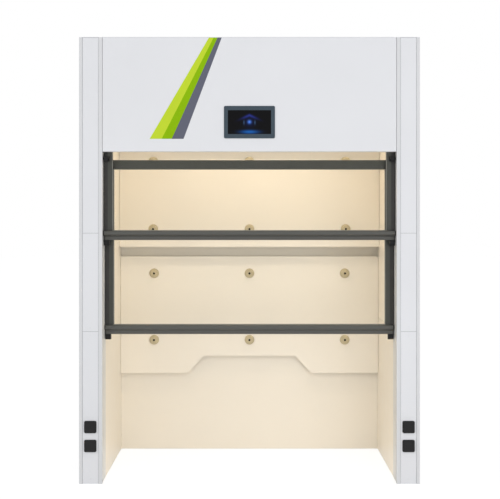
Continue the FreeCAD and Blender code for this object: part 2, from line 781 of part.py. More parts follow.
def pulley(depth):
    """A cable pulley: hub, pierced web and grooved rim."""
    def point(radius, offset):
        return at(PULLEY_X + radius, depth + offset, PULLEY_Z)

    bore = AXLE_RADIUS + AXLE_CLEARANCE
    groove = PULLEY_PITCH_RADIUS - CABLE_RADIUS - CABLE_CLEARANCE
    rim_inside = PULLEY_RADIUS - PULLEY_RIM_BAND
    hub = PULLEY_HUB_LENGTH / 2
    web = PULLEY_WEB / 2
    rim = PULLEY_RIM / 2
    seat = CABLE_RADIUS + CABLE_CLEARANCE
    half_section = [
        (bore, hub), (PULLEY_HUB_RADIUS, hub), (PULLEY_HUB_RADIUS, web), (rim_inside, web),
        (rim_inside, rim), (PULLEY_RADIUS, rim), (PULLEY_RADIUS, rim - CABLE_RADIUS),
        (groove, seat),
    ]
    path = [point(radius, offset) for radius, offset in half_section]
    path += [point(radius, -offset) for radius, offset in reversed(half_section)]
    outline = Part.makePolygon(path + [path[0]])
    wheel = Part.Face(outline).revolve(at(PULLEY_X, 0, PULLEY_Z), Vector(0, 1, 0), 360)
    hole_circle = (PULLEY_HUB_RADIUS + rim_inside) / 2
    for index in range(PULLEY_HOLES):
        angle = 2 * math.pi * index / PULLEY_HOLES
        hole = rod_along_depth(
            PULLEY_X + hole_circle * math.cos(angle), PULLEY_Z + hole_circle * math.sin(angle),
            PULLEY_HOLE_RADIUS, depth - PULLEY_WEB, depth + PULLEY_WEB
        )
        wheel = wheel.cut(hole)
    return wheel


def cable_wrap(depth):
    """The half turn of cable over one pulley."""
    ring = Part.makeCircle(CABLE_RADIUS, at(CABLE_X, depth, PULLEY_Z), Vector(0, 0, 1))
    disc = Part.Face(Part.Wire([ring]))
    return disc.revolve(at(PULLEY_X, 0, PULLEY_Z), Vector(0, 1, 0), 180)


def cable_wraps():
    wraps = []
    for depth in (FRONT_CABLE_DEPTH, REAR_CABLE_DEPTH):
        wraps += both_sides(cable_wrap(depth))
    return Part.makeCompound(wraps)


def cable_runs(x, depth, low_z):
    """The straight cables from a height up to the pulleys on both sides."""
    run = Part.makeCylinder(CABLE_RADIUS, PULLEY_Z - low_z, at(x, depth, low_z))
    return Part.makeCompound(both_sides(run))


def weights(depth, low_z, length):
    """One counterweight in each side wall."""
    half_width = WEIGHT_WIDTH / 2
    half_depth = WEIGHT_DEPTH / 2
    block = box(
        WEIGHT_X - half_width, WEIGHT_X + half_width, depth - half_depth, depth + half_depth,
        low_z, low_z + length
    )
    block = block.makeChamfer(WEIGHT_CHAMFER, block.Edges)
    return Part.makeCompound(both_sides(block))


def sash_glass(depth, low_z):
    """The pane, which reaches a little way into the frame all round."""
    half = STILE_INNER_X + GLASS_BITE
    middle = depth + SASH_THICKNESS / 2
    return box(
        -half, half, middle - GLASS_THICKNESS / 2, middle + GLASS_THICKNESS / 2,
        low_z + FOOT_HEIGHT + HANDLE_HEIGHT - GLASS_BITE,
        low_z + SASH_HEIGHT - TOP_RAIL_HEIGHT + GLASS_BITE
    )


def sash_stile(depth, z0, z1):
    """A hollow side bar with a bevel towards the glass."""
    back = depth + SASH_THICKNESS
    section = [
        (STILE_OUTER_X, depth, 0),
        (STILE_INNER_X + STILE_BEVEL, depth, 0),
        (STILE_INNER_X, depth + STILE_BEVEL_DROP, EDGE_ROUND),
        (STILE_INNER_X, back, EDGE_ROUND),
        (STILE_OUTER_X, back, 0),
    ]
    stile = prism_upright(section, z0, z1)
    hollow = box(
        STILE_INNER_X + GLASS_BITE + SASH_WALL, STILE_OUTER_X - SASH_WALL,
        depth + SASH_WALL, back - SASH_WALL, z0, z1
    )
    return stile.cut(hollow)


def sash_guide(depth, z0, z1):
    """A black strip along the stile with a tongue that runs in the track."""
    middle = depth + SASH_THICKNESS / 2
    tongue = GUIDE_TONGUE / 2
    tip = HALF_CHAMBER + SLOT_REACH - SASH_SIDE_GAP
    section = [
        (STILE_OUTER_X, depth, 0),
        (SASH_HALF, depth, EDGE_ROUND),
        (SASH_HALF, middle - tongue, 0),
        (tip, middle - tongue, EDGE_ROUND),
        (tip, middle + tongue, EDGE_ROUND),
        (SASH_HALF, middle + tongue, 0),
        (SASH_HALF, depth + SASH_THICKNESS, EDGE_ROUND),
        (STILE_OUTER_X, depth + SASH_THICKNESS, 0),
    ]
    return prism_upright(section, z0, z1)


def top_rail(depth, top_z):
    """The hollow upper bar between the two corner blocks."""
    base = top_z - TOP_RAIL_HEIGHT
    back = depth + SASH_THICKNESS
    section = [
        (depth, base, EDGE_ROUND),
        (back, base, EDGE_ROUND),
        (back, top_z, EDGE_ROUND),
        (depth, top_z, EDGE_ROUND),
    ]
    rail = prism_along_x(section, -STILE_INNER_X + SASH_WALL, STILE_INNER_X - SASH_WALL)
    hollow = box(
        -STILE_INNER_X, STILE_INNER_X, depth + SASH_WALL, back - SASH_WALL,
        base + GLASS_BITE + SASH_WALL, top_z - SASH_WALL
    )
    return rail.cut(hollow)


def handle_section(depth, base, nose):
    """The lower bar's outline, with a rounded lip in front for the fingers."""
    top = base + HANDLE_HEIGHT
    back = depth + SASH_THICKNESS
    lip = top - NOSE_HEIGHT
    return [
        (back, base, EDGE_ROUND),
        (back, top, EDGE_ROUND),
        (depth - nose, top, NOSE_ROUND),
        (depth - nose, lip, NOSE_ROUND),
        (depth, lip - NOSE_SLOPE, NOSE_ROUND),
        (depth, base, EDGE_ROUND),
    ]


def handle_rail(depth, base, nose):
    half = SASH_HALF - END_CAP - END_CAP_INSET
    rail = prism_along_x(handle_section(depth, base, nose), -half, half)
    hollow = box(
        -half, half, depth + SASH_WALL, depth + SASH_THICKNESS - SASH_WALL,
        base + SASH_WALL, base + HANDLE_HEIGHT - GLASS_BITE - SASH_WALL
    )
    return rail.cut(hollow)


def end_cap(depth, base, nose):
    """The black cap on one end of the lower bar, with its curved foot."""
    outer = SASH_HALF - END_CAP_INSET
    plate = prism_along_x(handle_section(depth, base, nose), outer - END_CAP, outer)
    foot_section = [
        (depth - FOOT_HEEL, base, 0),
        (depth + SASH_THICKNESS, base, 0),
        (depth + SASH_THICKNESS - SASH_WALL, base - FOOT_HEIGHT, FOOT_BACK_ROUND),
        (depth + FOOT_SLANT, base - FOOT_HEIGHT, FOOT_TOE_ROUND),
    ]
    foot = prism_along_x(foot_section, outer - FOOT_WIDTH, outer)
    return plate.fuse(foot).removeSplitter()


def corner_block(depth, top_z):
    """The block that joins stile, guide and top rail and takes the cable's end."""
    block = box(
        STILE_INNER_X - SASH_WALL, SASH_HALF, depth, depth + SASH_THICKNESS,
        top_z - TOP_RAIL_HEIGHT, top_z
    )
    return block.makeFillet(EDGE_ROUND, front_edges(block, depth))


def build_sash(name, depth, low_z, nose):
    """All rigid pieces of one sash."""
    top_z = low_z + SASH_HEIGHT
    base = low_z + FOOT_HEIGHT
    z0 = base + HANDLE_HEIGHT
    z1 = top_z - TOP_RAIL_HEIGHT
    glass = sash_glass(depth, low_z)
    caps = both_sides(end_cap(depth, base, nose))
    caps += both_sides(corner_block(depth, top_z).cut(glass))
    stile = sash_stile(depth, z0, z1).cut(glass)
    return {
        name + "_glass": glass,
        name + "_stiles": Part.makeCompound(both_sides(stile)),
        name + "_guides": Part.makeCompound(both_sides(sash_guide(depth, z0, z1))),
        name + "_top_rail": top_rail(depth, top_z).cut(glass),
        name + "_handle_rail": handle_rail(depth, base, nose).cut(glass),
        name + "_end_blocks": Part.makeCompound(caps),
        name + "_cables": cable_runs(CABLE_X, depth + SASH_THICKNESS / 2, top_z),
    }


def stop_buffers():
    """A rubber disc on a small plate on each stile of the front sash."""
    face = FRONT_SASH_DEPTH
    tip = face - BUFFER_PLATE - BUFFER_LENGTH
    z = HEADER_Z - BUFFER_BELOW_HEADER - BUFFER_RADIUS
    x = SASH_HALF - BUFFER_RADIUS - PANEL_GAP
    disc = rod_along_depth(x, z, BUFFER_RADIUS, tip, face)
    disc = disc.makeFillet(BUFFER_ROUND, front_edges(disc, tip))
    half = BUFFER_PLATE_HEIGHT / 2
    inner_x = x - BUFFER_PLATE_REACH + BUFFER_RADIUS
    plate = box(inner_x, x, face - BUFFER_PLATE, face, z - half, z + half)
    return Part.makeCompound(both_sides(disc.fuse(plate)))


def lid_axis(z):
    """Height and depth of the hinge line of the lid on a socket at height z."""
    return z + SOCKET_SIZE / 2 - LID_HINGE_INSET, LID_BARREL_RADIUS - SOCKET_LID_PROUD


def socket_body(z):
    """A socket: raised frame with hinge ears, contact well and back box."""
    half = SOCKET_SIZE / 2
    frame = rounded_plate(
        CHANNEL_X, z, SOCKET_SIZE, SOCKET_SIZE, SOCKET_CORNER, -SOCKET_FRAME_PROUD, COVER_DEPTH
    )
    box_half = SOCKET_BOX / 2
    back = box(
        CHANNEL_X - box_half, CHANNEL_X + box_half, COVER_DEPTH, SOCKET_BOX_DEPTH,
        z - box_half, z + box_half
    )
    axis_z, axis_depth = lid_axis(z)
    notch_reach = LID_BARREL_RADIUS + NOTCH_CLEARANCE
    notch_half = LID_BARREL_HALF + NOTCH_CLEARANCE / 2
    notch = box(
        CHANNEL_X - notch_half, CHANNEL_X + notch_half, -SOCKET_FRAME_PROUD,
        axis_depth + notch_reach, axis_z - notch_reach, z + half
    )
    body = frame.cut(notch).fuse(back)
    ear_reach = LID_BARREL_RADIUS
    for side in (-1, 1):
        near = CHANNEL_X + side * notch_half
        far = CHANNEL_X + side * (notch_half + EAR_WIDTH)
        ear = box(
            min(near, far), max(near, far), -SOCKET_LID_PROUD, -SOCKET_FRAME_PROUD,
            axis_z - ear_reach, axis_z + ear_reach
        )
        body = body.fuse(ear)
    hole_half = LID_BARREL_HALF + TRUNNION_LENGTH + TRUNNION_CLEARANCE
    pin_hole = rod_along_x(
        CHANNEL_X - hole_half, CHANNEL_X + hole_half, axis_depth, axis_z,
        TRUNNION_RADIUS + TRUNNION_CLEARANCE
    )
    body = body.cut(pin_hole)
    well = rod_along_depth(CHANNEL_X, z, WELL_RADIUS, -SOCKET_FRAME_PROUD, WELL_DEPTH)
    body = body.cut(well)
    for side in (-1, 1):
        contact = rod_along_depth(
            CHANNEL_X + side * CONTACT_SPACING / 2, z, CONTACT_RADIUS,
            WELL_DEPTH, WELL_DEPTH + CONTACT_DEPTH
        )
        body = body.cut(contact)
    return body.removeSplitter()


def socket_lid(z):
    """A spring lid with a barrel and two stub pins at its upper edge."""
    axis_z, axis_depth = lid_axis(z)
    half = SOCKET_SIZE / 2 - LID_MARGIN
    shoulder = axis_z - LID_NECK
    corners = [
        (CHANNEL_X - half, z - half, LID_CORNER),
        (CHANNEL_X + half, z - half, LID_CORNER),
        (CHANNEL_X + half, shoulder, 0),
        (CHANNEL_X + LID_BARREL_HALF, shoulder, 0),
        (CHANNEL_X + LID_BARREL_HALF, axis_z, 0),
        (CHANNEL_X - LID_BARREL_HALF, axis_z, 0),
        (CHANNEL_X - LID_BARREL_HALF, shoulder, 0),
        (CHANNEL_X - half, shoulder, 0),
    ]
    plate = prism_along_depth(
        corners, -SOCKET_LID_PROUD, -SOCKET_FRAME_PROUD - SOCKET_LID_GAP
    )
    barrel = rod_along_x(
        CHANNEL_X - LID_BARREL_HALF, CHANNEL_X + LID_BARREL_HALF, axis_depth, axis_z,
        LID_BARREL_RADIUS
    )
    reach = LID_BARREL_HALF + TRUNNION_LENGTH - TRUNNION_CLEARANCE
    pins = rod_along_x(
        CHANNEL_X - reach, CHANNEL_X + reach, axis_depth, axis_z, TRUNNION_RADIUS
    )
    return plate.fuse(barrel).fuse(pins).removeSplitter()


def socket_nodes():
    bodies = []
    nodes = {}
    for name, z in zip(("lower", "upper"), SOCKET_HEIGHTS):
        bodies += both_sides(socket_body(z))
        lid = socket_lid(z)
        nodes["socket_lid_right_" + name] = lid
        nodes["socket_lid_left_" + name] = mirrored(lid)
    nodes["socket_bodies"] = Part.makeCompound(bodies)
    return nodes


def counterbalance_nodes():
    nodes = {
        "pulley_brackets": Part.makeCompound(both_sides(pulley_bracket())),
        "cable_wraps": cable_wraps(),
    }
    for name, depth, drop, length in (
        ("front", FRONT_CABLE_DEPTH, FRONT_WEIGHT_DROP, FRONT_WEIGHT_LENGTH),
        ("rear", REAR_CABLE_DEPTH, REAR_WEIGHT_DROP, REAR_WEIGHT_LENGTH),
    ):
        wheel = pulley(depth)
        top_z = PULLEY_Z - drop
        nodes[name + "_pulley_right"] = wheel
        nodes[name + "_pulley_left"] = mirrored(wheel)
        nodes[name + "_weights"] = weights(depth, top_z - length, length)
        nodes[name + "_weight_cables"] = cable_runs(WEIGHT_X, depth, top_z)
    return nodes


def body_nodes():
    post = right_post()
    panel = side_panel()
    track = sash_track()
    lower = side_lining(LINING_FLOOR_GAP, LOWER_JOINT_Z - PANEL_GAP)
    upper = side_lining(LOWER_JOINT_Z + PANEL_GAP, CEILING_Z + LINING)
    return {
        "post_right": post,
        "post_left": mirrored(post),
        "socket_panels": Part.makeCompound(both_sides(right_socket_panel())),
        "post_covers": plain_covers(),
        "header_panel": header_panel(),
        "header_decal": header_decal(),
        "screen_bezel": screen_bezel(),
        "screen_glass": screen_block(GLASS_SUNK - BEZEL_PROUD),
        "screen_housing": screen_housing(),
        "side_panel_right": panel,
        "side_panel_left": mirrored(panel),
        "rear_panel": rear_panel(),
        "roof_panel": roof_panel(),
        "lower_side_linings": Part.makeCompound(both_sides(lower)),
        "upper_side_linings": Part.makeCompound(both_sides(upper)),
        "rear_lining": rear_lining(),
        "ceiling_lining": ceiling_lining(),
        "lamp_glass": lamp_glass(),
        "lamp_housing": lamp_housing(),
        "lamp_tubes": lamp_tubes(),
        "exhaust_spigot": exhaust_spigot(),
        "upper_baffle": upper_baffle(),
        "lower_baffle": lower_baffle(),
        "baffle_spacers": baffle_spacers(),
        "rod_bosses": rod_bosses(),
        "sash_track_right": track,
        "sash_track_left": mirrored(track),
        "base_rails": Part.makeCompound(both_sides(base_rail())),
        "top_beams": top_beams(),
        "rear_frame": rear_frame(),
    }


def main():
    nodes = body_nodes()
    nodes.update(build_sash("front_sash", FRONT_SASH_DEPTH, FRONT_SASH_Z, FRONT_NOSE))
    nodes.update(build_sash("rear_sash", REAR_SASH_DEPTH, REAR_SASH_Z, REAR_NOSE))
    nodes["front_sash_buffers"] = stop_buffers()
    nodes.update(counterbalance_nodes())
    nodes.update(socket_nodes())
    os.makedirs("parts", exist_ok=True)
    for name, shape in nodes.items():
        shape.exportStep("parts/" + name + ".step")


main()
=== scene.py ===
import json
import math

import bpy
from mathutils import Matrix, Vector

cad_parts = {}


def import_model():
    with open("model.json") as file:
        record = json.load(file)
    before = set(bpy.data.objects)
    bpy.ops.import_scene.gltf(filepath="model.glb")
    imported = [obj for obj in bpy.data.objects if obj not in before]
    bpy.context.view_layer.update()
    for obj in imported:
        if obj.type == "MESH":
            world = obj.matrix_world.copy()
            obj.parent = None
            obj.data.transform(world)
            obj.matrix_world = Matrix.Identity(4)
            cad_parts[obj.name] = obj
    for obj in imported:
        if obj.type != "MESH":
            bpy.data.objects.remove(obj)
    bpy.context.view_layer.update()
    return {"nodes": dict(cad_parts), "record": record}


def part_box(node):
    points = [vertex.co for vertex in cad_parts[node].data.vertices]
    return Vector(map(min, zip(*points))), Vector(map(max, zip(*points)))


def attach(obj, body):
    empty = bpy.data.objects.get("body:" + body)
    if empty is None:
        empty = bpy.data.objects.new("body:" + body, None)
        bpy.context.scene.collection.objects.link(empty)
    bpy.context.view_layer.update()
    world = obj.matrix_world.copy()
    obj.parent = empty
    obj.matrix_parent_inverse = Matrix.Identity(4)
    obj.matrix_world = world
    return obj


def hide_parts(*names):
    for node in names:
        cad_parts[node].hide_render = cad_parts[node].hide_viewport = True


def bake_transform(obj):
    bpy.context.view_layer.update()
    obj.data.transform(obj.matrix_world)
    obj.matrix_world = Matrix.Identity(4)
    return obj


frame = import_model()
nodes = frame["nodes"]

# All lengths are in metres.

# Camera, straight at the front
CAMERA_PLACE = (0.0, -5.544, 1.389)
SENSOR_MM = 36.0
FOCAL_MM = 69.55
SHIFT_X = 0.0011
SHIFT_Y = -0.0573

# Light. An area light has a name, a place, a target, a size, its watts and a colour
WORLD_STRENGTH = 0.68
STUDIO_LIGHTS = (
    ("softbox", (0.6, -4.6, 4.4), (0, 0, 1.2), (3.0, 2.0), 32.0),
    ("fill", (-3.6, -3.4, 2.4), (0, 0, 1.2), (2.0, 2.4), 20.0),
    ("low_fill", (1.6, -4.8, 0.9), (0, 0, 0.7), (3.2, 1.4), 46.0),
)
LAMP_WATTS = 4.2
LAMP_COLOUR = (1.0, 0.89, 0.77)
LAMP_DROP = 0.012
LAMP_MARGIN = 0.06
LAMP_DEPTH = 0.12
# What the ground inside the hood throws back up
FLOOR_GLOW = (
    "floor_glow", (0, -0.40, 0.05), (0, 0.3, 0.45), (1.4, 0.06), 0.55, (1.0, 0.85, 0.68),
)

# Floor: its half width, its colour for the light that it throws back, and what the camera sees
FLOOR_REACH = 30.0
FLOOR_COLOUR = (0.8, 0.8, 0.8, 1)
FLOOR_SHADE = (0.3, 0.3, 0.3, 1)
FLOOR_BRIGHTNESS = 0.80

# Screws. Each ring of a head has a share of the radius, one of the height, and how hexagonal it is
SCREW_SIDES = 24
SCREW_PROFILE = (
    (1.0, 0.0, 0.0), (1.0, 0.35, 0.0), (0.93, 0.62, 0.0), (0.78, 0.86, 0.0),
    (0.58, 1.0, 0.0), (0.46, 1.0, 1.0), (0.44, 0.45, 1.0),
)
# Radius and height of each kind's head, and where it sits
COVER_SCREW = (0.0045, 0.0018)
COVER_SCREW_X = 0.84025
COVER_SCREW_HEIGHTS = (0.024, 0.785, 0.826)
BUFFER_SCREW = (0.0055, 0.001)
BUFFER_SCREW_INSET = 0.014
BORDER_SCREW = (0.0045, 0.0016)
BORDER_SCREW_INSET = 0.014
REAR_COLUMN_FOOT = 0.05
REAR_COLUMN_TOP = 0.03
REAR_COLUMN_COUNT = 11
REAR_ROW_FOOT = 0.02
REAR_ROW_TOP = 0.012
REAR_ROW_REACH = 0.7
REAR_ROW_COUNT = 8
ROOF_COLUMN_INSET = 0.04
ROOF_COLUMN_COUNT = 5
ROOF_ROW_REACH = 0.75
ROOF_ROW_COUNT = 7

# Silicone round the panes, and the sash profiles' wall, which the top rails stop short by
BEAD_WIDTH = 0.003
BEAD_STEPS = 5
SASH_WALL = 0.003

# Sealant up the chamber's rear corners
SEAL_RADIUS = 0.004
SEAL_STEPS = 6

# Grey strips in the gaps round the post covers, a little behind the covers' faces: painted shade
# that darkens the gaps
STRIP_SINK = 0.0008
STRIP_WIDTH = 0.0015
JOINT_STRIP_WIDTH = 0.002
MIDDLE_JOINT_Z = 1.323
BOX_FACES = (
    (0, 1, 2, 3), (7, 6, 5, 4), (0, 4, 5, 1), (1, 5, 6, 2), (2, 6, 7, 3), (3, 7, 4, 0),
)

# Spigot: the bead on its wall, and its seal's profile, out from the wall and up from the roof
TURN_STEPS = 128
RIM_DEPTH = 0.001
SPIGOT_BEAD_SINK = 0.0005
SPIGOT_BEAD_RISE = 0.0035
SPIGOT_BEAD_HALF = 0.005
SPIGOT_BEAD_HEIGHT = 0.048
SPIGOT_BEAD_STEPS = 9
SPIGOT_SEAL = (
    (0.0006, 0.0002), (0.013, 0.0002), (0.013, 0.0012),
    (0.005, 0.0034), (0.0022, 0.009), (0.0006, 0.009),
)

# Bands on the baffles' side edges, which are the faces that look sideways at the node's border
BAND_REACH = 0.0024
SIDEWAYS = 0.99
BORDER_DEPTH = 0.0005

# Cables and the body that moves each one's low end
CABLE_RINGS = 24
CABLE_SIDES = 16
CABLE_BODIES = (
    ("front_sash_cables", "front_sash"), ("rear_sash_cables", "rear_sash"),
    ("front_weight_cables", "front_weight_pair"), ("rear_weight_cables", "rear_weight_pair"),
)

# The x of the edges between the stripes, at the decal's top and at its foot
STRIPE_EDGES = ((-0.189, -0.4635), (-0.1685, -0.410))
BOSS_HOLE_RADIUS = 0.0068
SCREEN_ROOF_SLOPE = 0.42


def srgb(red, green, blue):
    """A colour given as it looks on screen, in linear values."""
    def linear(value):
        return value / 12.92 if value <= 0.04045 else ((value + 0.055) / 1.055) ** 2.4
    return (linear(red), linear(green), linear(blue), 1.0)


class Shader:
    """One material's node tree, with a short call for each node it uses."""

    def __init__(self, name, inputs):
        self.material = bpy.data.materials.new(name)
        self.material.use_nodes = True
        self.tree = self.material.node_tree
        self.surface = self.tree.nodes["Principled BSDF"]
        for key, value in inputs.items():
            self.surface.inputs[key].default_value = value

    def node(self, kind, inputs=None, **settings):
        made = self.tree.nodes.new(kind)
        for key, value in settings.items():
            setattr(made, key, value)
        for key, value in (inputs or {}).items():
            self.feed(made.inputs[key], value)
        return made

    def feed(self, socket, value):
        if isinstance(value, bpy.types.NodeSocket):
            self.tree.links.new(value, socket)
        else:
            socket.default_value = value

    def place(self, stretch=(1, 1, 1)):
        coordinates = self.node("ShaderNodeTexCoord")
        mapping = self.node(
            "ShaderNodeMapping", {"Vector": coordinates.outputs["Object"], "Scale": stretch}
        )
        return mapping.outputs["Vector"]

    def noise(self, scale, detail=2.0, stretch=(1, 1, 1)):
        made = self.node(
            "ShaderNodeTexNoise", {"Vector": self.place(stretch), "Scale": scale, "Detail": detail}
        )
        return made.outputs["Fac"]

    def math(self, operation, *values):
        made = self.node("ShaderNodeMath", operation=operation)
        for socket, value in zip(made.inputs, values):
            self.feed(socket, value)
        return made.outputs[0]

    def spread(self, factor, low, high):
        """The middle range of a noise, spread between two values."""
        made = self.node(
            "ShaderNodeMapRange",
            {"Value": factor, "From Min": 0.3, "From Max": 0.7, "To Min": low, "To Max": high},
        )
        return made.outputs["Result"]

    def mix(self, factor, first, second, blend="MIX"):
        made = self.node("ShaderNodeMix", data_type="RGBA", blend_type=blend)
        self.feed(made.inputs["Factor"], factor)
        self.feed(made.inputs[6], first)
        self.feed(made.inputs[7], second)
        return made.outputs[2]

    def vary_colour(self, colour, amount, factor):
        """The colour drifts a little darker and lighter with the noise."""
        dark = [channel * (1 - amount) for channel in colour[:3]] + [1.0]
        light = [channel * (1 + amount) for channel in colour[:3]] + [1.0]
        wide = self.spread(factor, 0.0, 1.0)
        self.feed(self.surface.inputs["Base Color"], self.mix(wide, dark, light))

    def vary_roughness(self, low, high, factor):
        self.feed(self.surface.inputs["Roughness"], self.spread(factor, low, high))

    def bump(self, height, distance, strength):
        made = self.node(
            "ShaderNodeBump", {"Height": height, "Distance": distance, "Strength": strength}
        )
        self.feed(self.surface.inputs["Normal"], made.outputs["Normal"])


def painted(name, colour):
    """Powder coat: even colour, a fine orange peel and a soft sheen."""
    shader = Shader(name, {"IOR": 1.5})
    shader.vary_colour(colour, 0.012, shader.noise(2.2))
    shader.vary_roughness(0.36, 0.46, shader.noise(9.0, 3.0))
    shader.bump(shader.noise(650.0, 1.0), 0.00005, 0.35)
    return shader.material


def laminate(name, colour):
    """Satin laminate board with a pearl texture and a very faint fleck."""
    shader = Shader(name, {"IOR": 1.5})
    drift = shader.math("MULTIPLY", shader.noise(1.7), 0.7)
    fleck = shader.math("MULTIPLY", shader.noise(420.0, 1.0), 0.3)
    shader.vary_colour(colour, 0.018, shader.math("ADD", drift, fleck))
    shader.vary_roughness(0.34, 0.5, shader.noise(14.0, 3.0))
    shader.bump(shader.noise(900.0), 0.00004, 0.3)
    return shader.material


def extruded(name, colour, metallic, stretch, rough=(0.34, 0.46)):
    """Extruded aluminium: fine die lines along its length."""
    shader = Shader(name, {"Metallic": metallic, "IOR": 1.5})
    lines = shader.noise(520.0, 2.0, stretch)
    shader.vary_colour(colour, 0.05, lines)
    shader.vary_roughness(rough[0], rough[1], shader.noise(12.0, 3.0))
    shader.bump(lines, 0.00003, 0.3)
    return shader.material


def moulded(name, colour, rough=(0.42, 0.56), grain=1100.0, gloss=0.5):
    """Moulded plastic with a spark-eroded grain."""
    shader = Shader(name, {"IOR": 1.48, "Specular IOR Level": gloss})
    shader.vary_colour(colour, 0.06, shader.noise(35.0, 3.0))
    shader.vary_roughness(rough[0], rough[1], shader.noise(22.0))
    shader.bump(shader.noise(grain), 0.00006, 0.4)
    return shader.material


def galvanised(name, colour):
    """Zinc spangle: flat crystals of slightly different tone and gloss."""
    shader = Shader(name, {"Metallic": 0.9})
    crystals = shader.node("ShaderNodeTexVoronoi", {"Vector": shader.place(), "Scale": 95.0})
    tone = shader.node("ShaderNodeSeparateColor", {"Color": crystals.outputs["Color"]})
    shader.vary_colour(colour, 0.12, tone.outputs[0])
    shader.vary_roughness(0.28, 0.48, tone.outputs[1])
    shader.bump(crystals.outputs["Distance"], 0.00004, 0.25)
    return shader.material


def cast(name, colour):
    """Rough cast iron with a thin primer."""
    shader = Shader(name, {"Metallic": 0.3})
    skin = shader.noise(160.0, 5.0)
    shader.vary_colour(colour, 0.18, skin)
    shader.vary_roughness(0.55, 0.75, skin)
    shader.bump(skin, 0.0004, 0.6)
    return shader.material


def stranded(name, colour):
    """Twisted steel strands along the cable."""
    shader = Shader(name, {"Metallic": 1.0})
    wave = shader.node(
        "ShaderNodeTexWave", {"Vector": shader.place(), "Scale": 260.0, "Distortion": 0.5},
        bands_direction="DIAGONAL",
    )
    shader.vary_colour(colour, 0.25, wave.outputs["Fac"])
    shader.vary_roughness(0.3, 0.5, wave.outputs["Fac"])
    shader.bump(wave.outputs["Fac"], 0.0003, 0.7)
    return shader.material


def pane(name, tint):
    """Clear glass that lets the room's and the lamp's light and mirrored views through."""
    shader = Shader(name, {"Transmission Weight": 1.0, "IOR": 1.12, "Roughness": 0.0})
    shader.vary_colour(tint, 0.004, shader.noise(3.0))
    ray = shader.node("ShaderNodeLightPath").outputs
    mirrored = shader.math("SUBTRACT", ray["Is Glossy Ray"], ray["Is Transmission Ray"])
    passing = shader.math("MAXIMUM", ray["Is Shadow Ray"], ray["Is Diffuse Ray"])
    passing = shader.math("MAXIMUM", passing, mirrored)
    clear = shader.node("ShaderNodeBsdfTransparent", {"Color": tint})
    blend = shader.node("ShaderNodeMixShader", {"Fac": passing})
    shader.feed(blend.inputs[1], shader.surface.outputs["BSDF"])
    shader.feed(blend.inputs[2], clear.outputs["BSDF"])
    output = shader.tree.nodes["Material Output"]
    shader.feed(output.inputs["Surface"], blend.outputs["Shader"])
    return shader.material


def glowing(name, colour, strength):
    shader = Shader(
        name, {"Emission Color": colour, "Emission Strength": strength, "Roughness": 0.4}
    )
    shader.vary_colour(colour, 0.03, shader.noise(20.0))
    return shader.material


def screen_face(name):
    """A dark glossy touch panel that shows a soft airflow dial."""
    shader = Shader(name, {
        "Roughness": 0.12, "IOR": 1.5, "Specular IOR Level": 0.08, "Emission Strength": 1.0
    })
    low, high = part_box("screen_glass")
    middle = (low + high) / 2
    split = shader.node("ShaderNodeSeparateXYZ", {"Vector": shader.place()})
    x = shader.math("SUBTRACT", split.outputs["X"], middle.x)
    z = shader.math("SUBTRACT", split.outputs["Z"], middle.z)
    side = shader.math("ABSOLUTE", x)
    roof_line = shader.math("ADD", z, shader.math("MULTIPLY", side, SCREEN_ROOF_SLOPE))

    def bell(value, centre, width):
        """One at the centre, falling off softly on both sides."""
        offset = shader.math("DIVIDE", shader.math("SUBTRACT", value, centre), width)
        squared = shader.math("MULTIPLY", offset, offset)
        return shader.math("EXPONENT", shader.math("MULTIPLY", squared, -1.0))

    total = (0, 0, 0, 1)
    for first, second, colour in (
        # the dot, its halo, the roof over it, the arcs beside it and the pool below it
        ((x, 0.0, 0.0085), (z, 0.001, 0.0085), srgb(0.30, 0.50, 0.90)),
        ((x, 0.0, 0.026), (z, 0.001, 0.024), srgb(0.01, 0.05, 0.22)),
        ((roof_line, 0.036, 0.0065), (x, 0.0, 0.036), srgb(0.14, 0.18, 0.50)),
        ((side, 0.029, 0.0032), (z, -0.002, 0.010), srgb(0.20, 0.30, 0.42)),
        ((x, 0.001, 0.040), (z, -0.0515, 0.0085), srgb(0.08, 0.36, 0.68)),
    ):
        factor = shader.math("MULTIPLY", bell(*first), bell(*second))
        glow = shader.mix(factor, (0, 0, 0, 1), colour)
        total = shader.mix(1.0, total, glow, "ADD")
    shader.feed(shader.surface.inputs["Emission Color"], total)
    shader.vary_colour(srgb(0.055, 0.055, 0.065), 0.05, shader.noise(8.0))
    return shader.material


def stripe(name, colour):
    """Printed vinyl film, smoother than the coat under it."""
    shader = Shader(name, {"IOR": 1.45, "Specular IOR Level": 0.15})
    shader.vary_colour(colour, 0.02, shader.noise(6.0))
    shader.vary_roughness(0.28, 0.36, shader.noise(30.0))
    shader.bump(shader.noise(240.0, 1.0), 0.00003, 0.2)
    return shader.material


STRIPE_LIME = stripe("stripe_lime", srgb(0.755, 0.845, 0.20))
STRIPE_GREEN = stripe("stripe_green", srgb(0.54, 0.72, 0.0))
STRIPE_GREY = stripe("stripe_grey", srgb(0.385, 0.395, 0.45))
BLACK = moulded("black_plastic", srgb(0.10, 0.10, 0.105), gloss=0.3)
GUIDE_PLASTIC = moulded("guide_plastic", srgb(0.19, 0.185, 0.18))
POST_COAT = painted("post_coat", srgb(0.845, 0.85, 0.86))
# A darker copy of the sash frame for the top rails and stiles: painted shade, for the shade under
# the header
SHADED_PROFILE = extruded("shaded_profile", srgb(0.265, 0.27, 0.25), 0.2, (0.02, 1, 1))
RUBBER = moulded("rubber", srgb(0.06, 0.06, 0.06), (0.6, 0.75), 500.0)
SILICONE = moulded("silicone", srgb(0.52, 0.52, 0.50), (0.35, 0.5), 400.0)
SEALANT = moulded("sealant", srgb(0.93, 0.90, 0.84), (0.3, 0.4), 300.0)
# Grey for the strips in the cover gaps: painted shade for the gaps
GAP_SHADE_STRIP = moulded("gap_shade_strip", srgb(0.66, 0.67, 0.68), (0.5, 0.6), 400.0)
# Near black for the insides of the rod holes: painted shade
HOLE_SHADE = moulded("hole_shade", srgb(0.05, 0.045, 0.04), (0.7, 0.8), 300.0, gloss=0.1)
